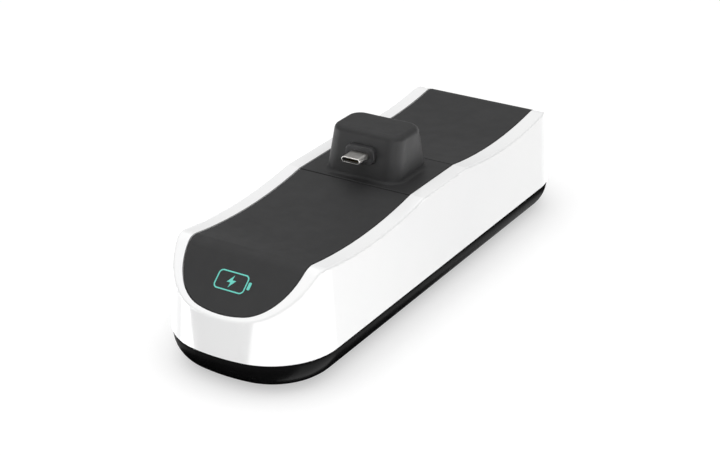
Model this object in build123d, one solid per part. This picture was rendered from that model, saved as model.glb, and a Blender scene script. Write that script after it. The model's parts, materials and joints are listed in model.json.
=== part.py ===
from build123d import *
import os
from math import atan2, copysign, cos, degrees, radians, sqrt, tan

# Charging dock with a seat at each end, and a post between them with a plug for each seat.
# X runs across the dock, Y along it with the front end at -Y, and +Z is up.
# The origin is on the table under the middle of the dock. Sizes are in millimetres.

# Body outline in plan: straight sides, then a corner arc and a flatter end arc at each end.
# The corner arcs are centred END_FLAT either side of the middle line.
LENGTH = 222.0
WIDTH = 67.0
END_RADIUS = 70.0
END_FLAT = 6.5

# Heights above the table, and the side profile of the top
FOOT_DROP = 0.6
BASE_TOP = 13.0
NOSE_Z = 28.0
DECK_Z = 46.0
SLOPE_DEG = 41.0
DRAFT_DEG = 3.8
DISH_DEPTH = 3.0
CREST_RADIUS = 7.0
RIM_RADIUS = 1.0

# White shell, and the ledge that carries the dark inlays in its top
SHELL_WALL = 2.2
LEDGE_THICKNESS = 2.4
LEDGE_WIDTH = 5.5
RIB_THICKNESS = 1.6
RIB_LIFT = 2.0

# Dark cradles: outline in plan, thickness, rounded edge and the seam round them
SIDE_RIM = 6.4
NOSE_RIM = 1.65
CRADLE_END_RADIUS = 51.0
CRADLE_FLAT = 6.0
CRADLE_THICKNESS = 2.2
CRADLE_EDGE = 0.4
SEAM_GAP = 0.4

# Black base tray, and the lip that locates the shell on it
TRAY_REVEAL = 0.4
TRAY_BAND = 1.2
TRAY_WALL = 3.0
TRAY_FLOOR = 2.4
LIP_THICKNESS = 1.4
LIP_HEIGHT = 2.5
LIP_GAP = 0.2
LIP_ROOT = 2.0

# Post between the two seats: a tapered hollow block on a flat plate
PLATE_LENGTH = 34.0
POST_HEIGHT = 18.0
POST_BASE_X = 34.0
POST_BASE_Y = 27.0
POST_TOP_X = 31.6
POST_TOP_Y = 19.0
POST_CORNER = 6.0
POST_TOP_ROUND = 2.5
POST_FOOT_ROUND = 1.5
POST_WALL = 2.0
RAIL_THICKNESS = 1.6

# Charging plugs, of the standard reversible size, one each side of the post
PLUG_DROP = 8.5
PLUG_WIDTH = 8.25
PLUG_HEIGHT = 2.4
PLUG_REACH = 6.65
PLUG_METAL = 0.3
PLUG_LIP = 0.2
PLUG_CHEEK = 0.4
PLUG_SLOT_HEIGHT = 0.9
PLUG_SLOT_DEPTH = 5.0
PLUG_RECESS = 0.3
BOOT_WIDTH = 13.0
BOOT_HEIGHT = 7.0
BOOT_CORNER = 2.5
BOOT_PROUD = 1.6
BOOT_EDGE = 0.5
PLUG_BOARD_WIDTH = 18.0
PLUG_BOARD_HEIGHT = 12.0
PLUG_BOARD_THICKNESS = 1.2

# Main board and what stands on it
BOARD_Z = 15.0
BOARD_THICKNESS = 1.6
BOARD_X = 46.0
BOARD_Y = 40.0
BOARD_CORNER = 2.0
BOARD_SIDE_GAP = 0.7
BOARD_SCREW_EDGE = 4.0
BOARD_BOSS_RADIUS = 3.0
SOCKET_X = 7.0
SOCKET_Y = 3.4
SOCKET_HEIGHT = 4.0
RIBBON_CORES = 4
RIBBON_CORE_RADIUS = 0.65
RIBBON_PITCH = 1.2
CHIP_SIZE = 6.0
CHIP_HEIGHT = 1.0
CHIP_FROM_LEFT = 17.0
CHIP_Y = 10.0
COIL_SIZE = 6.0
COIL_HEIGHT = 3.5
COIL_EDGE = 0.8
COIL_FROM_SCREW = 0.5
COIL_Y = 13.0
CAN_RADIUS = 2.5
CAN_HEIGHT = 6.0
CAN_EDGE = 0.4
CAN_FROM_RIGHT = 5.0
CAN_Y = 4.0

# Power inlet in the left wall, of the standard reversible size
INLET_WIDTH = 8.94
INLET_HEIGHT = 3.26
INLET_DEPTH = 7.3
INLET_METAL = 0.3
INLET_SETBACK = 1.1
INLET_BACK = 2.0
TONGUE_WIDTH = 6.7
TONGUE_HEIGHT = 0.7
TONGUE_LENGTH = 4.4
INLET_GAP = 0.4
INLET_DISH_WIDTH = 13.4
INLET_DISH_HEIGHT = 7.6
INLET_DISH_DEPTH = 0.9

# Ballast plates, held by pins on the tray floor
BALLAST_Y = 42.0
BALLAST_THICKNESS = 5.0
BALLAST_FROM_BOARD = 15.0
BALLAST_SIDE_GAP = 0.8
BALLAST_CORNER = 3.0
PIN_RADIUS = 2.0
PIN_SPACING = 26.0
PIN_PROUD = 1.0

# Rubber feet in shallow wells under the tray
FOOT_RADIUS = 5.5
FOOT_SINK = 1.0
FOOT_EDGE = 0.4
FOOT_FROM_SIDE = 20.5
FOOT_FROM_END = 25.0

# Screws that hold the shell to the tray, from below
CASE_HEAD_RADIUS = 2.8
CASE_HEAD = 1.8
CASE_SHANK = 1.4
CASE_LENGTH = 14.0
CASE_HEAD_SINK = 2.5
CASE_BOSS_RADIUS = 4.2
CASE_JOIN_Z = 8.0
CASE_FROM_EDGE = 5.0
CASE_FROM_END = 43.0

# Screws that pull the cradles and the post down on the ledge, from below
FIX_HEAD_RADIUS = 3.0
FIX_HEAD = 1.4
FIX_SHANK = 0.9
FIX_LENGTH = 4.0
FIX_BOSS_RADIUS = 2.0
FIX_PAD_RADIUS = 3.4
FIX_PAD_DROP = 1.0
FIX_FROM_EDGE = 3.0
CRADLE_FIX_FROM_PLATE = 13.0
CRADLE_FIX_FROM_CREST = 8.5
POST_FIX_FROM_EDGE = 6.0

# Screws of the main board, from above
BOARD_HEAD_RADIUS = 2.2
BOARD_HEAD = 1.3
BOARD_SHANK = 1.0
BOARD_SCREW_LENGTH = 6.0

# Cross recess of every screw, as a share of the head it is cut in
DRIVE_SPAN = 0.6
DRIVE_WIDTH = 0.2
DRIVE_DEPTH = 0.5

# Clearances
FIT_GAP = 0.1
THREAD_GAP = 0.05
BORE_GAP = 0.2

FRONT = -1
REAR = 1
ENDS = {"front": FRONT, "rear": REAR}
SIDES = {"left": -1, "right": 1}

HALF_LENGTH = LENGTH / 2
HALF_WIDTH = WIDTH / 2
FLOOR_Z = FOOT_DROP + TRAY_FLOOR
NOSE_Y = HALF_LENGTH - (NOSE_Z - BASE_TOP) * tan(radians(DRAFT_DEG))
CREST_Y = NOSE_Y - (DECK_Z - NOSE_Z) / tan(radians(SLOPE_DEG))
PLATE_HALF = PLATE_LENGTH / 2
LEDGE_DROP = CRADLE_THICKNESS + LEDGE_THICKNESS
POST_TOP_Z = DECK_Z + POST_HEIGHT
FULL_HEIGHT = POST_TOP_Z + FOOT_DROP
CRADLE_HALF = HALF_WIDTH - (DECK_Z - BASE_TOP) * tan(radians(DRAFT_DEG)) - SIDE_RIM

BOARD_TOP = BOARD_Z + BOARD_THICKNESS
BOARD_LEFT = SHELL_WALL + LIP_GAP + LIP_THICKNESS + BOARD_SIDE_GAP - HALF_WIDTH
BOARD_RIGHT = BOARD_LEFT + BOARD_X
INLET_Z = BOARD_TOP + INLET_HEIGHT / 2
INLET_WALL_X = (INLET_Z - BASE_TOP) * tan(radians(DRAFT_DEG)) - HALF_WIDTH
INLET_MOUTH_X = INLET_WALL_X + INLET_SETBACK

CASE_X = CRADLE_HALF - CASE_FROM_EDGE
CASE_Y = HALF_LENGTH - CASE_FROM_END
CASE_SEAT_Z = FOOT_DROP + CASE_HEAD_SINK
FIX_X = CRADLE_HALF - FIX_FROM_EDGE
BALLAST_X = 2 * (CASE_X - CASE_BOSS_RADIUS - BALLAST_SIDE_GAP)
BALLAST_PLACE_Y = (BOARD_Y + BALLAST_Y) / 2 + BALLAST_FROM_BOARD


def post_half_y(z):
    """Half the thickness of the tapered post at a height."""
    share = (z - DECK_Z) / (POST_TOP_Z - DECK_Z)
    return (POST_BASE_Y + (POST_TOP_Y - POST_BASE_Y) * share) / 2


def post_half_x(z):
    """Half the width of the tapered post at a height."""
    share = (z - DECK_Z) / (POST_TOP_Z - DECK_Z)
    return (POST_BASE_X + (POST_TOP_X - POST_BASE_X) * share) / 2


PLUG_Z = POST_TOP_Z - PLUG_DROP
PLUG_BOARD_TOP = POST_TOP_Z - POST_WALL - FIT_GAP
PLUG_BOARD_LOW = PLUG_BOARD_TOP - PLUG_BOARD_HEIGHT
PLUG_BOARD_FACE = post_half_y(PLUG_BOARD_TOP) - POST_WALL - FIT_GAP
PLUG_BOARD_BACK = PLUG_BOARD_FACE - PLUG_BOARD_THICKNESS
RIBBON_Y = (PLUG_BOARD_FACE + PLUG_BOARD_BACK) / 2
BOOT_FRONT = post_half_y(PLUG_Z) + BOOT_PROUD
BOOT_LENGTH = BOOT_FRONT - PLUG_BOARD_FACE
PLUG_LENGTH = BOOT_LENGTH + PLUG_REACH


def mirrored_points(x, y):
    return [(side_x * x, side_y * y) for side_x in (-1, 1) for side_y in (FRONT, REAR)]


CASE_POINTS = mirrored_points(CASE_X, CASE_Y)
POST_POINTS = mirrored_points(FIX_X, PLATE_HALF - POST_FIX_FROM_EDGE)
CRADLE_POINTS = (
    mirrored_points(FIX_X, PLATE_HALF + CRADLE_FIX_FROM_PLATE)
    + mirrored_points(FIX_X, CREST_Y - CRADLE_FIX_FROM_CREST)
)
BOARD_POINTS = [
    (x, side * (BOARD_Y / 2 - BOARD_SCREW_EDGE))
    for x in (BOARD_LEFT + BOARD_SCREW_EDGE, BOARD_RIGHT - BOARD_SCREW_EDGE)
    for side in (FRONT, REAR)
]
PIN_POINTS = [
    (0, end * BALLAST_PLACE_Y + step * PIN_SPACING / 2) for end in (FRONT, REAR) for step in (-1, 1)
]


def pad_z(y):
    """Underside of the pad under the ledge at a fixing screw."""
    dish = DISH_DEPTH if abs(y) > PLATE_HALF else 0.0
    return DECK_Z - dish - LEDGE_DROP - FIX_PAD_DROP


def capsule(half_width, half_length, end_radius, flat):
    """Plan outline with straight sides and a three-arc end at each end, as a face."""
    corner_radius = half_width - flat
    along = sqrt((end_radius - corner_radius) ** 2 - flat ** 2)
    end_y = half_length - end_radius
    corner_y = end_y + along
    spread = degrees(atan2(flat, along))
    lines = []
    for turn in (Rot(0, 0, 0), Rot(0, 0, 180)):
        lines.append(turn * CenterArc((0, end_y), end_radius, 90 - spread, 2 * spread))
        lines.append(turn * CenterArc((flat, corner_y), corner_radius, 0, 90 - spread))
        lines.append(turn * CenterArc((-flat, corner_y), corner_radius, 90 + spread, 90 - spread))
        lines.append(turn * Line((half_width, -corner_y), (half_width, corner_y)))
    return make_face(lines)


def body_outline(inset):
    return capsule(HALF_WIDTH - inset, HALF_LENGTH - inset, END_RADIUS - inset, END_FLAT)


def cradle_outline(inset):
    half_length = NOSE_Y - NOSE_RIM - inset
    return capsule(CRADLE_HALF - inset, half_length, CRADLE_END_RADIUS - inset, CRADLE_FLAT)


def prism(face, low, high, taper=0.0):
    return extrude(Pos(0, 0, low) * face, amount=high - low, taper=taper)


def block(size_x, size_y, low, high, x=0.0, y=0.0):
    return Pos(x, y, low) * Box(size_x, size_y, high - low, align=(Align.CENTER, Align.CENTER, Align.MIN))


def rod(radius, low, high, x=0.0, y=0.0):
    return Pos(x, y, low) * Cylinder(radius, high - low, align=(Align.CENTER, Align.CENTER, Align.MIN))


def under_top(drop):
    """Everything below the top of the dock, lowered by drop: a slope, crest and dish at each end."""
    spare = HALF_WIDTH
    outer = (-NOSE_Y - spare, NOSE_Z - spare * tan(radians(SLOPE_DEG)))
    crest = (-CREST_Y, DECK_Z)
    plate = (-PLATE_HALF, DECK_Z)
    low = ((crest[0] + plate[0]) / 2, DECK_Z - DISH_DEPTH)
    half = [Line(outer, crest), ThreePointArc(crest, low, plate)]
    other_half = [mirror(line, Plane.YZ) for line in half]
    deep = -FULL_HEIGHT
    below = Polyline(outer, (outer[0], deep), (-outer[0], deep), (-outer[0], outer[1]))
    profile = make_face(half + other_half + [Line(plate, (PLATE_HALF, DECK_Z)), below])
    crests = [v for v in profile.vertices() if v.Y > NOSE_Z and abs(v.X) > (CREST_Y + PLATE_HALF) / 2]
    profile = fillet(crests, CREST_RADIUS)
    return Pos(0, 0, -drop) * extrude(Plane.YZ * profile, amount=WIDTH, both=True)


def rim_edges(solid):
    """Edges round the top of a solid: those with only one upward-facing face beside them."""
    steepest = cos(radians(SLOPE_DEG)) / 2
    edges = [e for f in solid.faces() if f.normal_at(f.center()).Z > steepest for e in f.edges()]
    return [e for e in edges if sum(e.is_same(other) for other in edges) == 1]


def lowest_edges(solid):
    return solid.faces().sort_by(Axis.Z)[0].edges()


def screw(head_radius, head, shank, length):
    """Pan-head screw that points up, with its bearing face at the origin."""
    body = rod(shank, 0, length) + rod(head_radius, -head, 0)
    bar = block(2 * head_radius * DRIVE_SPAN, head_radius * DRIVE_WIDTH, -head, -head * (1 - DRIVE_DEPTH))
    return body - bar - Rot(0, 0, 90) * bar


def body_shell():
    outer = prism(body_outline(0), BASE_TOP, FULL_HEIGHT, DRAFT_DEG) & under_top(0)
    outer = fillet(rim_edges(outer), RIM_RADIUS)
    hollow = prism(body_outline(SHELL_WALL), BASE_TOP, FULL_HEIGHT, DRAFT_DEG) & under_top(LEDGE_DROP)
    pocket = prism(cradle_outline(-SEAM_GAP), BASE_TOP, FULL_HEIGHT) - under_top(CRADLE_THICKNESS)
    opening = prism(cradle_outline(LEDGE_WIDTH), BASE_TOP, FULL_HEIGHT)
    shell = outer - hollow - pocket - opening
    below_inlay = under_top(CRADLE_THICKNESS)
    in_wall = prism(body_outline(SHELL_WALL / 2), BASE_TOP, FULL_HEIGHT, DRAFT_DEG)
    rib_low = BASE_TOP + LIP_HEIGHT + RIB_LIFT
    for x, y in CASE_POINTS:
        rib_x = x + copysign(HALF_WIDTH / 2, x)
        rib = block(HALF_WIDTH, RIB_THICKNESS, rib_low, FULL_HEIGHT, rib_x, y)
        boss = rod(CASE_BOSS_RADIUS, CASE_JOIN_Z, FULL_HEIGHT, x, y) + (rib & in_wall)
        shell += boss & below_inlay
        shell -= rod(CASE_SHANK + THREAD_GAP, CASE_JOIN_Z, CASE_SEAT_Z + CASE_LENGTH + BORE_GAP, x, y)
    for x, y in CRADLE_POINTS + POST_POINTS:
        shell += rod(FIX_PAD_RADIUS, pad_z(y), FULL_HEIGHT, x, y) & below_inlay
        shell -= rod(FIX_BOSS_RADIUS + FIT_GAP, pad_z(y), FULL_HEIGHT, x, y)
    return shell - inlet_cut()


def inlet_cut():
    """Opening for the power inlet, with a shallow dish round it for the mating plug's grip."""
    mouth = Plane(origin=(INLET_WALL_X, 0, INLET_Z), x_dir=(0, 1, 0), z_dir=(-1, 0, 0))
    hole = SlotOverall(INLET_WIDTH + 2 * INLET_GAP, INLET_HEIGHT + 2 * INLET_GAP)
    dish = SlotOverall(INLET_DISH_WIDTH, INLET_DISH_HEIGHT)
    through = extrude(mouth.offset(-2 * SHELL_WALL) * hole, amount=4 * SHELL_WALL)
    return through + extrude(mouth.offset(-INLET_DISH_DEPTH) * dish, amount=INLET_DISH_DEPTH + SHELL_WALL)


def base_tray():
    undercut = BASE_TOP - FOOT_DROP - TRAY_BAND
    outer = prism(body_outline(TRAY_REVEAL), FOOT_DROP, BASE_TOP)
    outer = fillet(lowest_edges(outer), undercut)
    hollow = prism(body_outline(TRAY_REVEAL + TRAY_WALL), FLOOR_Z, FULL_HEIGHT)
    hollow = fillet(lowest_edges(hollow), undercut - TRAY_WALL)
    lip_inset = SHELL_WALL + LIP_GAP
    lip = prism(body_outline(lip_inset), BASE_TOP - LIP_ROOT, BASE_TOP + LIP_HEIGHT)
    lip -= prism(body_outline(lip_inset + LIP_THICKNESS), FOOT_DROP, FULL_HEIGHT)
    tray = outer - hollow + lip
    root_z = FLOOR_Z - TRAY_FLOOR / 4
    for x, y in CASE_POINTS:
        tray += rod(CASE_BOSS_RADIUS, root_z, CASE_JOIN_Z, x, y)
        tray -= rod(CASE_SHANK + BORE_GAP, 0, CASE_JOIN_Z, x, y)
        tray -= rod(CASE_HEAD_RADIUS + BORE_GAP, 0, CASE_SEAT_Z, x, y)
    for x, y in BOARD_POINTS:
        tray += rod(BOARD_BOSS_RADIUS, root_z, BOARD_Z, x, y)
        tray -= rod(BOARD_SHANK + THREAD_GAP, BOARD_TOP - BOARD_SCREW_LENGTH - BORE_GAP, BOARD_Z, x, y)
    for x, y in PIN_POINTS:
        tray += rod(PIN_RADIUS, root_z, FLOOR_Z + BALLAST_THICKNESS + PIN_PROUD, x, y)
    for x, y in mirrored_points(HALF_WIDTH - FOOT_FROM_SIDE, HALF_LENGTH - FOOT_FROM_END):
        tray -= rod(FOOT_RADIUS + FIT_GAP, 0, FOOT_DROP + FOOT_SINK, x, y)
    return tray


def with_bosses(inlay, points):
    """An inlay with a round boss through the ledge at each point, bored for its screw."""
    below_face = under_top(CRADLE_THICKNESS / 2)
    for x, y in points:
        low = pad_z(y) + BORE_GAP
        inlay += rod(FIX_BOSS_RADIUS, low, FULL_HEIGHT, x, y) & below_face
        inlay -= rod(FIX_SHANK + THREAD_GAP, low, pad_z(y) + FIX_LENGTH + BORE_GAP, x, y)
    return inlay


def cradle(end):
    sheet = (prism(cradle_outline(0), 0, FULL_HEIGHT) & under_top(0)) - under_top(CRADLE_THICKNESS)
    reach = block(WIDTH, LENGTH, 0, FULL_HEIGHT, 0, end * (PLATE_HALF + SEAM_GAP + HALF_LENGTH))
    inlay = sheet & reach
    inlay = fillet(rim_edges(inlay), CRADLE_EDGE)
    return with_bosses(inlay, [(x, y) for x, y in CRADLE_POINTS if y * end > 0])


def post_block(inset, low, high):
    """The tapered post between two heights, or its hollow when inset."""
    sections = []
    for z in (low, high):
        size_x = 2 * (post_half_x(z) - inset)
        size_y = 2 * (post_half_y(z) - inset)
        sections.append(Pos(0, 0, z) * RectangleRounded(size_x, size_y, POST_CORNER - inset))
    return loft(sections)


def post_foot_edges(post):
    """Edges where the tapered block stands on its plate."""
    at_deck = post.edges().filter_by_position(Axis.Z, DECK_Z - THREAD_GAP, DECK_Z + THREAD_GAP)
    in_x = [e for e in at_deck if abs(e.center().X) < post_half_x(DECK_Z) + THREAD_GAP]
    return [e for e in in_x if abs(e.center().Y) < post_half_y(DECK_Z) + THREAD_GAP]


def plug_plane(end, distance):
    """Plane across a plug's axis, facing out of the post at a distance from the dock's middle."""
    return Plane(origin=(0, end * distance, PLUG_Z), x_dir=(1, 0, 0), z_dir=(0, end, 0))


def plug_post():
    plate_low = DECK_Z - CRADLE_THICKNESS
    plate = block(2 * CRADLE_HALF, PLATE_LENGTH, plate_low, DECK_Z)
    plate = fillet(rim_edges(plate), CRADLE_EDGE)
    tower = post_block(0, DECK_Z, POST_TOP_Z)
    tower = fillet(rim_edges(tower), POST_TOP_ROUND)
    post = plate + tower
    post = fillet(post_foot_edges(post), POST_FOOT_ROUND)
    post -= post_block(POST_WALL, plate_low, POST_TOP_Z - POST_WALL)
    rail_top = POST_TOP_Z - POST_WALL / 2
    for side in (-1, 1):
        rail_x = side * (PLUG_BOARD_WIDTH - RAIL_THICKNESS) / 2
        post += block(RAIL_THICKNESS, 2 * PLUG_BOARD_BACK, PLUG_BOARD_LOW, rail_top, rail_x)
    window = RectangleRounded(BOOT_WIDTH + 2 * FIT_GAP, BOOT_HEIGHT + 2 * FIT_GAP, BOOT_CORNER + FIT_GAP)
    for end in (FRONT, REAR):
        post -= extrude(plug_plane(end, PLUG_BOARD_FACE) * window, amount=BOOT_LENGTH)
    return with_bosses(post, POST_POINTS)


def plug_boot(end):
    root = plug_plane(end, PLUG_BOARD_FACE)
    boot = extrude(root * RectangleRounded(BOOT_WIDTH, BOOT_HEIGHT, BOOT_CORNER), amount=BOOT_LENGTH)
    boot = fillet(boot.faces().sort_by(Axis(root.origin, root.z_dir))[-1].edges(), BOOT_EDGE)
    hole = SlotOverall(PLUG_WIDTH + 2 * THREAD_GAP, PLUG_HEIGHT + 2 * THREAD_GAP)
    return boot - extrude(root * hole, amount=BOOT_LENGTH)


def plug_shell(end):
    root = plug_plane(end, PLUG_BOARD_FACE)
    tube = extrude(root * SlotOverall(PLUG_WIDTH, PLUG_HEIGHT), amount=PLUG_LENGTH)
    tube = fillet(tube.faces().sort_by(Axis(root.origin, root.z_dir))[-1].edges(), PLUG_LIP)
    inside = SlotOverall(PLUG_WIDTH - 2 * PLUG_METAL, PLUG_HEIGHT - 2 * PLUG_METAL)
    return tube - extrude(root * inside, amount=PLUG_LENGTH)


def plug_insulator(end):
    root = plug_plane(end, PLUG_BOARD_FACE)
    skin = PLUG_METAL + THREAD_GAP
    width = PLUG_WIDTH - 2 * skin
    core = extrude(root * SlotOverall(width, PLUG_HEIGHT - 2 * skin), amount=PLUG_LENGTH - PLUG_RECESS)
    slot_end = plug_plane(end, PLUG_BOARD_FACE + PLUG_LENGTH - PLUG_SLOT_DEPTH)
    slot = Rectangle(width - 2 * PLUG_CHEEK, PLUG_SLOT_HEIGHT)
    return core - extrude(slot_end * slot, amount=PLUG_SLOT_DEPTH)


def plug_board(end):
    return block(PLUG_BOARD_WIDTH, PLUG_BOARD_THICKNESS, PLUG_BOARD_LOW, PLUG_BOARD_TOP, 0, end * RIBBON_Y)


def ribbon(end):
    """Flat cable that runs straight down from a plug board to its socket on the main board."""
    low = BOARD_TOP + SOCKET_HEIGHT
    cable = Part()
    for core in range(RIBBON_CORES):
        x = (core - (RIBBON_CORES - 1) / 2) * RIBBON_PITCH
        cable += rod(RIBBON_CORE_RADIUS, low, PLUG_BOARD_LOW, x, end * RIBBON_Y)
    return cable


def ribbon_socket(end):
    return block(SOCKET_X, SOCKET_Y, BOARD_TOP, BOARD_TOP + SOCKET_HEIGHT, 0, end * RIBBON_Y)


def main_board():
    board = Pos((BOARD_LEFT + BOARD_RIGHT) / 2, 0, 0) * RectangleRounded(BOARD_X, BOARD_Y, BOARD_CORNER)
    board = prism(board, BOARD_Z, BOARD_TOP)
    for x, y in BOARD_POINTS:
        board -= rod(BOARD_SHANK + BORE_GAP, BOARD_Z, BOARD_TOP, x, y)
    return board


def charge_chips():
    x = BOARD_LEFT + CHIP_FROM_LEFT
    top = BOARD_TOP + CHIP_HEIGHT
    return [block(CHIP_SIZE, CHIP_SIZE, BOARD_TOP, top, x, end * CHIP_Y) for end in ENDS.values()]


def power_coils():
    coils = []
    x = BOARD_RIGHT - BOARD_SCREW_EDGE - BOARD_HEAD_RADIUS - COIL_FROM_SCREW - COIL_SIZE / 2
    for end in ENDS.values():
        coil = block(COIL_SIZE, COIL_SIZE, BOARD_TOP, BOARD_TOP + COIL_HEIGHT, x, end * COIL_Y)
        coils.append(chamfer(coil.edges().filter_by(Axis.Z), COIL_EDGE))
    return coils


def capacitors():
    cans = []
    for end in ENDS.values():
        can = rod(CAN_RADIUS, BOARD_TOP, BOARD_TOP + CAN_HEIGHT, BOARD_RIGHT - CAN_FROM_RIGHT, end * CAN_Y)
        cans.append(fillet(can.edges().sort_by(Axis.Z)[-1:], CAN_EDGE))
    return cans


def inlet_plane(distance):
    """Plane across the inlet's axis, facing out of the left wall, a distance behind its mouth."""
    return Plane(origin=(INLET_MOUTH_X + distance, 0, INLET_Z), x_dir=(0, 1, 0), z_dir=(-1, 0, 0))


def inlet_shell():
    outside = SlotOverall(INLET_WIDTH, INLET_HEIGHT)
    inside = SlotOverall(INLET_WIDTH - 2 * INLET_METAL, INLET_HEIGHT - 2 * INLET_METAL)
    return extrude(inlet_plane(INLET_DEPTH) * (outside - inside), amount=INLET_DEPTH)


def inlet_insulator():
    skin = INLET_METAL + THREAD_GAP
    back = SlotOverall(INLET_WIDTH - 2 * skin, INLET_HEIGHT - 2 * skin)
    body = extrude(inlet_plane(INLET_DEPTH) * back, amount=INLET_BACK)
    tongue = Rectangle(TONGUE_WIDTH, TONGUE_HEIGHT)
    return body + extrude(inlet_plane(INLET_DEPTH) * tongue, amount=INLET_BACK + TONGUE_LENGTH)


def ballast(end):
    plate = RectangleRounded(BALLAST_X, BALLAST_Y, BALLAST_CORNER)
    plate = prism(Pos(0, end * BALLAST_PLACE_Y, 0) * plate, FLOOR_Z, FLOOR_Z + BALLAST_THICKNESS)
    for x, y in PIN_POINTS:
        plate -= rod(PIN_RADIUS + FIT_GAP, FLOOR_Z, FULL_HEIGHT, x, y)
    return plate


def foot(end, side):
    x = side * (HALF_WIDTH - FOOT_FROM_SIDE)
    y = end * (HALF_LENGTH - FOOT_FROM_END)
    pad = rod(FOOT_RADIUS, 0, FOOT_DROP + FOOT_SINK, x, y)
    return fillet(pad.edges().sort_by(Axis.Z)[:1], FOOT_EDGE)


def case_screws():
    one = screw(CASE_HEAD_RADIUS, CASE_HEAD, CASE_SHANK, CASE_LENGTH)
    return [Pos(x, y, CASE_SEAT_Z) * one for x, y in CASE_POINTS]


def fixing_screws(points):
    one = screw(FIX_HEAD_RADIUS, FIX_HEAD, FIX_SHANK, FIX_LENGTH)
    return [Pos(x, y, pad_z(y)) * one for x, y in points]


def board_screws():
    one = Rot(180, 0, 0) * screw(BOARD_HEAD_RADIUS, BOARD_HEAD, BOARD_SHANK, BOARD_SCREW_LENGTH)
    return [Pos(x, y, BOARD_TOP) * one for x, y in BOARD_POINTS]


def all_nodes():
    nodes = {
        "base_tray": base_tray(),
        "body_shell": body_shell(),
        "plug_post": plug_post(),
        "main_board": main_board(),
        "charge_chips": charge_chips(),
        "power_coils": power_coils(),
        "capacitors": capacitors(),
        "inlet_shell": inlet_shell(),
        "inlet_insulator": inlet_insulator(),
        "case_screws": case_screws(),
        "cradle_screws": fixing_screws(CRADLE_POINTS),
        "post_screws": fixing_screws(POST_POINTS),
        "board_screws": board_screws(),
    }
    by_end = [cradle, plug_boot, plug_shell, plug_insulator, plug_board, ribbon, ribbon_socket, ballast]
    for end_name, end in ENDS.items():
        for make in by_end:
            nodes[f"{end_name}_{make.__name__}"] = make(end)
        for side_name, side in SIDES.items():
            nodes[f"{end_name}_{side_name}_foot"] = foot(end, side)
    return nodes


def main():
    os.makedirs("parts", exist_ok=True)
    for name, shape in all_nodes().items():
        whole = Compound(children=shape) if isinstance(shape, list) else shape
        export_step(whole, f"parts/{name}.step")


if __name__ == "__main__":
    main()
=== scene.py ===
import json
from math import cos, pi, radians, sin

import bmesh
import bpy
from mathutils import Matrix, Vector


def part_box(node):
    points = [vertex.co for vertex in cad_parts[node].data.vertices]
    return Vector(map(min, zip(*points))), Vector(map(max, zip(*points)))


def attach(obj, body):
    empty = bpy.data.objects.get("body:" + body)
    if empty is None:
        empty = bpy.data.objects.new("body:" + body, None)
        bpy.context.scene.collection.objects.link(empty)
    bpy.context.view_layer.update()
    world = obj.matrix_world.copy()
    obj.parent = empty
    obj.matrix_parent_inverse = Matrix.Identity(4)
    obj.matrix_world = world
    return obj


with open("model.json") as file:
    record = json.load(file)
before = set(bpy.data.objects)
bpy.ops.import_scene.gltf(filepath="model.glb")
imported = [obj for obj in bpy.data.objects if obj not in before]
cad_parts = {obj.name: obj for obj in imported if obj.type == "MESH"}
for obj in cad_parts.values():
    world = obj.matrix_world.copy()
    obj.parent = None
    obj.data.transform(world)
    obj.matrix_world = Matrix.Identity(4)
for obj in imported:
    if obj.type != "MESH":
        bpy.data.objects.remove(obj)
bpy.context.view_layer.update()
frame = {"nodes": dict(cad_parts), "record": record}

# White charging dock with dark cradles on a black base, on a pale studio floor.
# Everything is in metres, in the dock's frame: X across it, Y from front to rear, Z up.
MM = 0.001

# Camera, in front of the dock and to its right, looking down at it
CAMERA_PLACE = Vector((0.3234, -0.5456, 0.3170))
CAMERA_YAW = radians(31.245)
CAMERA_PITCH = radians(25.173)
CAMERA_LENS = 86.97
CAMERA_SENSOR = 36.0

# Studio: a pale floor, an even white sky, and soft lights overhead and in front on the right
FLOOR_SIZE = 12.0
FLOOR_GLOW = 0.5
SKY_LIGHT = 0.25
SKY_SHOWN = 0.5
TOP_LIGHT_PLACE = (0, -0.1, 1.1)
TOP_LIGHT_SIZE = 2.2
TOP_LIGHT_POWER = 20.0
FRONT_LIGHT_PLACE = (0.62, -1.0, 0.45)
FRONT_LIGHT_SIZE = 0.8
FRONT_LIGHT_POWER = 1.5

# Reflectors below the floor, which only the gloss of the dock sees. A ring that is bright in front
# and on the right, and soft elsewhere, stands round a pan that is dim at its edge, pale on the
# right and dark elsewhere. The ring's light leaves out the base. Turns run round the dock from its
# front, with its right side at a quarter turn.
RING_RADIUS = 3.0
RING_DEPTH = 1.63
RING_STEPS = 180
RING_BRIGHT = 6.0
RING_SOFT = 2.0
BRIGHT_FROM = radians(-80)
BRIGHT_EDGE = radians(2)
BRIGHT_TO = radians(131)
SOFT_FROM = radians(148)
DIM_RADIUS = 2.24
DIM_LEVEL = 0.3
PALE_FROM = radians(70)
PALE_TO = radians(150)
PALE_LEVEL = 0.8

# Dark screen that hangs between the ring and the front end, with (turn, height) down its two edges
SCREEN_RADIUS = 0.33
SCREEN_Y = -0.11
SCREEN_STEPS = 24
SCREEN_LEFT = [(radians(-62), -0.04), (radians(-62), -0.116), (radians(-49), -0.124), (radians(-49), -0.16)]
SCREEN_RIGHT = [(radians(4), -0.04), (radians(4), -0.099), (radians(-5), -0.12), (radians(-5), -0.16)]

# Charge mark printed on the front slope: a battery outline with a bolt in it
MARK_WIDTH = 13.0 * MM
MARK_HEIGHT = 7.6 * MM
MARK_CORNER = 1.8 * MM
MARK_LINE = 0.5 * MM
MARK_INK = 0.03 * MM
MARK_RISE = 12.4 * MM
NUB_WIDTH = 1.2 * MM
NUB_HEIGHT = 3.0 * MM
NUB_GAP = 0.5 * MM
BOLT_WIDTH = 3.6 * MM
BOLT_HEIGHT = 5.0 * MM
ARC_STEPS = 8

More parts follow.
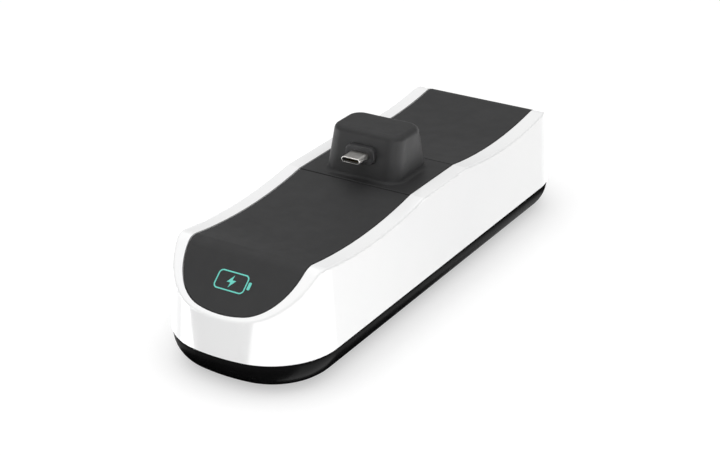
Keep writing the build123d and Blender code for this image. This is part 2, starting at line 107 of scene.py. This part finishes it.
# Gold contacts in two rows, in the slot of each plug and on the tongue of the power inlet.
# Each is given by how far its ends are from the tip, and how far its face is from the middle.
CONTACTS = 12
CONTACT_PITCH = 0.5 * MM
CONTACT_WIDTH = 0.28 * MM
CONTACT_THICKNESS = 0.06 * MM
PLUG_CONTACT = (0.9 * MM, 4.6 * MM)
PLUG_CONTACT_RISE = 0.42 * MM
INLET_CONTACT = (0.4 * MM, 4.0 * MM)
INLET_CONTACT_RISE = 0.38 * MM

# Range of a noise value that carries most of its change
NOISE_LOW = 0.3
NOISE_HIGH = 0.7

# A normal on the front slope points forward and up by more than this
SLOPE_FACING = 0.5


def links(material):
    return material.node_tree.links


def shader_of(material):
    return material.node_tree.nodes["Principled BSDF"]


def new_material(name, colour, roughness, **sockets):
    """A material with a plain Principled shader, before its texture is added."""
    material = bpy.data.materials.new(name)
    material.use_nodes = True
    shader = shader_of(material)
    shader.inputs["Base Color"].default_value = (*colour, 1)
    shader.inputs["Roughness"].default_value = roughness
    for socket, value in sockets.items():
        shader.inputs[socket.replace("_", " ")].default_value = value
    return material


def noise(material, size, detail=2.0, stretch=(1, 1, 1)):
    """Noise over the dock's frame whose features have about the given size."""
    nodes = material.node_tree.nodes
    place = nodes.new("ShaderNodeTexCoord")
    mapping = nodes.new("ShaderNodeMapping")
    mapping.inputs["Scale"].default_value = stretch
    texture = nodes.new("ShaderNodeTexNoise")
    texture.inputs["Scale"].default_value = 1 / size
    texture.inputs["Detail"].default_value = detail
    links(material).new(place.outputs["Object"], mapping.inputs["Vector"])
    links(material).new(mapping.outputs["Vector"], texture.inputs["Vector"])
    return texture.outputs["Fac"]


def spread(material, value, low, high):
    """The middle range of a noise value, spread from low to high."""
    node = material.node_tree.nodes.new("ShaderNodeMapRange")
    node.inputs["From Min"].default_value = NOISE_LOW
    node.inputs["From Max"].default_value = NOISE_HIGH
    node.inputs["To Min"].default_value = low
    node.inputs["To Max"].default_value = high
    links(material).new(value, node.inputs["Value"])
    return node.outputs["Result"]


def vary_colour(material, value, low, high):
    """Base colour that goes from low to high with a noise value."""
    ramp = material.node_tree.nodes.new("ShaderNodeValToRGB")
    ramp.color_ramp.elements[0].position = NOISE_LOW
    ramp.color_ramp.elements[1].position = NOISE_HIGH
    ramp.color_ramp.elements[0].color = (*low, 1)
    ramp.color_ramp.elements[1].color = (*high, 1)
    links(material).new(value, ramp.inputs["Fac"])
    links(material).new(ramp.outputs["Color"], shader_of(material).inputs["Base Color"])


def vary_roughness(material, value, low, high):
    links(material).new(spread(material, value, low, high), shader_of(material).inputs["Roughness"])


def add_bump(material, value, height):
    """Bump of the given height from a noise value."""
    bump = material.node_tree.nodes.new("ShaderNodeBump")
    bump.inputs["Distance"].default_value = height
    links(material).new(value, bump.inputs["Height"])
    links(material).new(bump.outputs["Normal"], shader_of(material).inputs["Normal"])


def shell_white():
    """Polished white moulding: faint mottle and the slight waviness of a moulded gloss face."""
    material = new_material("gloss_white_plastic", (0.9, 0.9, 0.9), 0.1)
    vary_colour(material, noise(material, 45 * MM), (0.885, 0.887, 0.89), (0.91, 0.91, 0.908))
    vary_roughness(material, noise(material, 14 * MM, 4), 0.07, 0.12)
    add_bump(material, noise(material, 9 * MM, 1), 0.012 * MM)
    return material


def grained_plastic(name, low, high, gloss, grain, level=0.5):
    """Textured moulding with even grain of (size, depth), and colour and gloss that drift a little."""
    material = new_material(name, high, gloss[1], Specular_IOR_Level=level)
    vary_colour(material, noise(material, 18 * MM, 5), low, high)
    vary_roughness(material, noise(material, 6 * MM, 3), *gloss)
    add_bump(material, noise(material, grain[0], 3), grain[1])
    return material


def cradle_dark():
    low, high = (0.0195, 0.0195, 0.02), (0.022, 0.022, 0.0225)
    return grained_plastic("matte_dark_plastic", low, high, (0.52, 0.6), (0.35 * MM, 0.03 * MM), 0.25)


def base_black():
    low, high = (0.003, 0.003, 0.0032), (0.005, 0.005, 0.0052)
    return grained_plastic("satin_black_plastic", low, high, (0.22, 0.28), (0.3 * MM, 0.003 * MM), 0.18)


def boot_black():
    low, high = (0.014, 0.014, 0.015), (0.02, 0.02, 0.021)
    return grained_plastic("soft_black_plastic", low, high, (0.55, 0.68), (0.2 * MM, 0.01 * MM), 0.4)


def insulator_black():
    low, high = (0.012, 0.012, 0.012), (0.018, 0.018, 0.018)
    return grained_plastic("connector_plastic", low, high, (0.35, 0.45), (0.15 * MM, 0.004 * MM))


def foot_rubber():
    low, high = (0.018, 0.018, 0.018), (0.03, 0.03, 0.03)
    return grained_plastic("foot_rubber", low, high, (0.75, 0.9), (0.4 * MM, 0.04 * MM), 0.3)


def chip_black():
    low, high = (0.012, 0.012, 0.013), (0.02, 0.02, 0.021)
    return grained_plastic("chip_package", low, high, (0.5, 0.6), (0.1 * MM, 0.006 * MM))


def coil_grey():
    low, high = (0.10, 0.10, 0.105), (0.16, 0.16, 0.17)
    return grained_plastic("pressed_ferrite", low, high, (0.6, 0.75), (0.25 * MM, 0.02 * MM))


def ribbon_grey():
    low, high = (0.36, 0.36, 0.37), (0.45, 0.45, 0.46)
    return grained_plastic("flat_cable", low, high, (0.45, 0.55), (0.3 * MM, 0.006 * MM))


def socket_cream():
    low, high = (0.72, 0.69, 0.62), (0.8, 0.77, 0.7)
    return grained_plastic("header_plastic", low, high, (0.4, 0.5), (0.2 * MM, 0.005 * MM))


def board_green():
    low, high = (0.008, 0.09, 0.038), (0.012, 0.13, 0.055)
    return grained_plastic("coated_board", low, high, (0.2, 0.3), (0.5 * MM, 0.01 * MM))


def drawn_metal(name, low, high, gloss, stretch):
    """Bare metal with fine streaks along the way it was drawn or rolled."""
    material = new_material(name, high, gloss[1], Metallic=1.0)
    vary_colour(material, noise(material, 3 * MM, 3), low, high)
    streaks = noise(material, 0.25 * MM, 2, stretch)
    vary_roughness(material, streaks, *gloss)
    add_bump(material, streaks, 0.002 * MM)
    return material


def plug_metal():
    return drawn_metal("nickel_plate", (0.52, 0.51, 0.49), (0.6, 0.59, 0.57), (0.32, 0.42), (1, 0.08, 1))


def can_metal():
    return drawn_metal("drawn_can", (0.72, 0.72, 0.73), (0.8, 0.8, 0.81), (0.25, 0.35), (1, 1, 0.1))


def ballast_metal():
    return drawn_metal("rolled_plate", (0.4, 0.4, 0.41), (0.52, 0.52, 0.52), (0.35, 0.5), (1, 0.1, 1))


def screw_metal():
    return drawn_metal("dark_screw", (0.22, 0.22, 0.23), (0.32, 0.32, 0.33), (0.3, 0.42), (1, 1, 1))


def contact_gold():
    return drawn_metal("gold_plate", (0.8, 0.56, 0.2), (0.92, 0.68, 0.28), (0.18, 0.28), (1, 1, 1))


def mark_ink():
    """Teal ink with a slightly uneven lay."""
    material = new_material("teal_ink", (0.12, 0.6, 0.505), 0.4)
    vary_colour(material, noise(material, 1.2 * MM, 3), (0.11, 0.57, 0.48), (0.13, 0.63, 0.53))
    add_bump(material, noise(material, 0.3 * MM, 2), 0.004 * MM)
    return material


def pale_floor():
    """Pale table top with a faint glow of its own, so that shadows stay pale."""
    material = new_material("pale_floor", (0.55, 0.55, 0.55), 0.6, Specular_IOR_Level=0.2)
    vary_colour(material, noise(material, 0.4, 3), (0.545, 0.545, 0.545), (0.555, 0.555, 0.555))
    shader_of(material).inputs["Emission Strength"].default_value = FLOOR_GLOW
    material.cycles.emission_sampling = "NONE"
    return material


def card(name, level):
    """Card that gives off an even light."""
    material = new_material(name, (0, 0, 0), 1.0, Specular_IOR_Level=0.0, Emission_Strength=level)
    shader_of(material).inputs["Emission Color"].default_value = (1, 1, 1, 1)
    material.cycles.emission_sampling = "NONE"
    return material


def ring_card():
    """Card that goes round the ring: bright in front and on the right, and soft elsewhere."""
    material = card("ring_card", RING_BRIGHT)
    nodes = material.node_tree.nodes
    place = nodes.new("ShaderNodeTexCoord")
    turn = nodes.new("ShaderNodeTexGradient")
    turn.gradient_type = "RADIAL"
    ramp = nodes.new("ShaderNodeValToRGB")
    links(material).new(place.outputs["Object"], turn.inputs["Vector"])
    links(material).new(turn.outputs["Fac"], ramp.inputs["Fac"])
    links(material).new(ramp.outputs["Color"], shader_of(material).inputs["Emission Color"])
    soft = RING_SOFT / RING_BRIGHT
    stops = [(BRIGHT_FROM - BRIGHT_EDGE, soft), (BRIGHT_FROM, 1), (BRIGHT_TO, 1), (SOFT_FROM, soft)]
    while len(ramp.color_ramp.elements) < len(stops):
        ramp.color_ramp.elements.new(1)
    for element, (angle, level) in zip(ramp.color_ramp.elements, stops):
        element.position = (angle + pi / 2) / (2 * pi)
        element.color = (level, level, level, 1)
    return material


FINISHES = {
    make.__name__: make
    for make in (
        shell_white, base_black, cradle_dark, boot_black, insulator_black, plug_metal, foot_rubber,
        board_green, chip_black, coil_grey, can_metal, ribbon_grey, socket_cream, ballast_metal,
        screw_metal,
    )
}


def dress_nodes():
    """Every CAD node takes the finish of its material slot."""
    made = {slot: make() for slot, make in FINISHES.items()}
    for part in frame["record"]["subparts"]:
        node = frame["nodes"][part["node"]]
        node.material_slots[0].material = made[part["material_slot"]]


def mesh_object(name, bm, *materials):
    mesh = bpy.data.meshes.new(name)
    bm.normal_update()
    bm.to_mesh(mesh)
    bm.free()
    for material in materials:
        mesh.materials.append(material)
    piece = bpy.data.objects.new(name, mesh)
    bpy.context.scene.collection.objects.link(piece)
    return piece


def rounded_rectangle(width, height, corner):
    """Points round a rounded rectangle, anticlockwise from its right side."""
    points = []
    for quarter in range(4):
        middle_x = (width / 2 - corner) * (1 if quarter in (0, 3) else -1)
        middle_y = (height / 2 - corner) * (1 if quarter in (0, 1) else -1)
        for step in range(ARC_STEPS + 1):
            angle = (quarter + step / ARC_STEPS) * pi / 2
            points.append((middle_x + corner * cos(angle), middle_y + corner * sin(angle)))
    return points


def slope_frame(node):
    """Axes of a cradle's sloping face: across it, up it and out of it, from its lowest point."""
    mesh = frame["nodes"][node].data
    facing = [p for p in mesh.polygons if min(-p.normal.y, p.normal.z) > SLOPE_FACING]
    flat = max(facing, key=lambda p: p.area)
    out = flat.normal
    across = Vector((1, 0, 0))
    up = out.cross(across)
    origin = flat.center - flat.center.x * across
    front_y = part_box(node)[0].y
    origin -= up * ((origin.y - front_y) / up.y)
    return Matrix((
        (across.x, up.x, out.x, origin.x),
        (across.y, up.y, out.y, origin.y),
        (across.z, up.z, out.z, origin.z),
        (0, 0, 0, 1),
    ))


def charge_mark(place):
    """Battery outline, its nub and a bolt, as flat ink on the sloping face."""
    bm = bmesh.new()
    outer = rounded_rectangle(MARK_WIDTH, MARK_HEIGHT, MARK_CORNER)
    inset = 2 * MARK_LINE
    inner = rounded_rectangle(MARK_WIDTH - inset, MARK_HEIGHT - inset, MARK_CORNER - MARK_LINE)
    rings = [[bm.verts.new((x, y, 0)) for x, y in ring] for ring in (outer, inner)]
    for i in range(len(outer)):
        j = (i + 1) % len(outer)
        bm.faces.new((rings[0][i], rings[0][j], rings[1][j], rings[1][i]))
    nub_x = (MARK_WIDTH + NUB_WIDTH) / 2 + NUB_GAP
    nub = [(x + nub_x, y) for x, y in rounded_rectangle(NUB_WIDTH, NUB_HEIGHT, NUB_WIDTH / 3)]
    bolt = [(0.12, 0.5), (-0.5, -0.1), (-0.06, -0.1), (-0.12, -0.5), (0.5, 0.1), (0.06, 0.1)]
    bolt = [(x * BOLT_WIDTH, y * BOLT_HEIGHT) for x, y in bolt]
    for outline in (nub, bolt):
        bm.faces.new([bm.verts.new((x, y, 0)) for x, y in outline])
    bmesh.ops.remove_doubles(bm, verts=bm.verts, dist=0.001 * MM)
    base = list(bm.faces)
    raised = bmesh.ops.extrude_face_region(bm, geom=base, use_keep_orig=True)["geom"]
    moved = [v for v in raised if isinstance(v, bmesh.types.BMVert)]
    bmesh.ops.translate(bm, verts=moved, vec=(0, 0, MARK_INK))
    bmesh.ops.recalc_face_normals(bm, faces=bm.faces)
    shift = -(NUB_GAP + NUB_WIDTH) / 2
    bmesh.ops.transform(bm, matrix=place @ Matrix.Translation((shift, MARK_RISE, 0)), verts=bm.verts)
    return mesh_object("charge_mark", bm, mark_ink())


def contacts(name, tip, inward, ends, rise, gold):
    """Two rows of contacts that run inward from the tip of a plug or tongue."""
    up = Vector((0, 0, 1))
    across = up.cross(inward)
    length = ends[1] - ends[0]
    bm = bmesh.new()
    for side in (-1, 1):
        for step in range(CONTACTS):
            place = tip + inward * (ends[0] + length / 2) + up * side * rise
            place += across * (step - (CONTACTS - 1) / 2) * CONTACT_PITCH
            axes = (inward * length, across * CONTACT_WIDTH, up * CONTACT_THICKNESS)
            columns = [(*axis, 0) for axis in axes] + [(*place, 1)]
            bmesh.ops.create_cube(bm, size=1, matrix=Matrix(columns).transposed())
    return mesh_object(name, bm, gold)


def add_contacts():
    gold = contact_gold()
    rows = []
    for node, tip_side in (("front_plug_shell", 0), ("rear_plug_shell", 1)):
        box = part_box(node)
        middle = (box[0] + box[1]) / 2
        tip = Vector((middle.x, box[tip_side].y, middle.z))
        inward = Vector((0, 1 if tip_side == 0 else -1, 0))
        name = node.replace("shell", "contacts")
        rows.append(contacts(name, tip, inward, PLUG_CONTACT, PLUG_CONTACT_RISE, gold))
    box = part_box("inlet_insulator")
    middle = (box[0] + box[1]) / 2
    tip = Vector((box[0].x, middle.y, middle.z))
    rows.append(contacts("inlet_contacts", tip, Vector((1, 0, 0)), INLET_CONTACT, INLET_CONTACT_RISE, gold))
    for row in rows:
        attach(row, "root")


def add_floor():
    """Floor that catches light and shadow. The dock's gloss looks through it to the reflectors."""
    bm = bmesh.new()
    bmesh.ops.create_grid(bm, x_segments=1, y_segments=1, size=FLOOR_SIZE / 2)
    floor = mesh_object("floor", bm, pale_floor())
    floor.visible_glossy = False


def arc_row(bm, radius, middle_y, first, last, steps):
    """Points round the dock on an upright cylinder, evenly from one (turn, height) to another."""
    points = []
    for step in range(steps + 1):
        turn, height = (a + (b - a) * step / steps for a, b in zip(first, last))
        points.append(bm.verts.new((radius * sin(turn), middle_y - radius * cos(turn), height)))
    return points


def full_row(bm, radius, height):
    """Points all the way round the dock, from its rear."""
    return arc_row(bm, radius, 0, (-pi, height), (pi, height), RING_STEPS)


def strip(bm, upper, lower):
    """Faces between two rows, in their order."""
    for i in range(len(upper) - 1):
        bm.faces.new((upper[i], upper[i + 1], lower[i + 1], lower[i]))


def reflector(name, bm, *cards):
    """Piece of the studio that only gloss sees."""
    piece = mesh_object(name, bm, *cards)
    piece.visible_camera = False
    piece.visible_diffuse = False
    piece.visible_shadow = False
    return piece


def add_ring():
    """Ring round the dock, whose light reaches every node but the base."""
    bm = bmesh.new()
    strip(bm, full_row(bm, RING_RADIUS, 0), full_row(bm, RING_RADIUS, -RING_DEPTH))
    ring = reflector("reflector_ring", bm, ring_card())
    lit = bpy.data.collections.new("lit_by_ring")
    for name, node in frame["nodes"].items():
        if name != "base_tray":
            lit.objects.link(node)
    ring.light_linking.receiver_collection = lit


def add_pan():
    """Pan within the foot of the ring."""
    bm = bmesh.new()
    foot = full_row(bm, RING_RADIUS, -RING_DEPTH)
    edge = full_row(bm, DIM_RADIUS, -RING_DEPTH)
    middle = bm.verts.new((0, 0, -RING_DEPTH))
    strip(bm, foot, edge)
    for step in range(RING_STEPS):
        turn = (step + 0.5) * 2 * pi / RING_STEPS - pi
        face = bm.faces.new((edge[step], edge[step + 1], middle))
        face.material_index = 1 if PALE_FROM < turn < PALE_TO else 2
    cards = (card("dim_card", DIM_LEVEL), card("pale_card", PALE_LEVEL), card("dark_card", 0.0))
    reflector("reflector_pan", bm, *cards)


def add_screen():
    bm = bmesh.new()
    rows = [
        arc_row(bm, SCREEN_RADIUS, SCREEN_Y, left, right, SCREEN_STEPS)
        for left, right in zip(SCREEN_LEFT, SCREEN_RIGHT)
    ]
    for upper, lower in zip(rows, rows[1:]):
        strip(bm, upper, lower)
    reflector("reflector_screen", bm, card("screen_card", 0.0))


def add_world():
    """Even white sky, brighter where it is seen or mirrored than as a light on matte faces."""
    world = bpy.data.worlds.new("studio")
    world.use_nodes = True
    world.cycles.sampling_method = "NONE"
    nodes = world.node_tree.nodes
    path = nodes.new("ShaderNodeLightPath")
    level = nodes.new("ShaderNodeMapRange")
    level.inputs["To Min"].default_value = SKY_SHOWN
    level.inputs["To Max"].default_value = SKY_LIGHT
    nodes["Background"].inputs["Color"].default_value = (1, 1, 1, 1)
    world.node_tree.links.new(path.outputs["Is Diffuse Ray"], level.inputs["Value"])
    world.node_tree.links.new(level.outputs["Result"], nodes["Background"].inputs["Strength"])
    bpy.context.scene.world = world


def add_light(name, place, size, power):
    """Square soft light aimed at the dock."""
    light = bpy.data.lights.new(name, "AREA")
    light.shape = "SQUARE"
    light.size = size
    light.energy = power
    lamp = bpy.data.objects.new(name, light)
    lamp.location = place
    lamp.rotation_euler = (-Vector(place)).to_track_quat("-Z", "Y").to_euler()
    bpy.context.scene.collection.objects.link(lamp)


def add_camera():
    camera = bpy.data.objects.new("camera", bpy.data.cameras.new("camera"))
    camera.data.sensor_width = CAMERA_SENSOR
    camera.data.lens = CAMERA_LENS
    camera.location = CAMERA_PLACE
    camera.rotation_euler = (pi / 2 - CAMERA_PITCH, 0, CAMERA_YAW)
    bpy.context.scene.collection.objects.link(camera)
    bpy.context.scene.camera = camera


add_camera()
add_world()
add_light("top_light", TOP_LIGHT_PLACE, TOP_LIGHT_SIZE, TOP_LIGHT_POWER)
add_light("front_light", FRONT_LIGHT_PLACE, FRONT_LIGHT_SIZE, FRONT_LIGHT_POWER)
add_floor()
add_ring()
add_pan()
add_screen()
dress_nodes()
mark = charge_mark(slope_frame("front_cradle"))
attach(mark, "root")
add_contacts()
bpy.context.scene.view_settings.view_transform = "Standard"
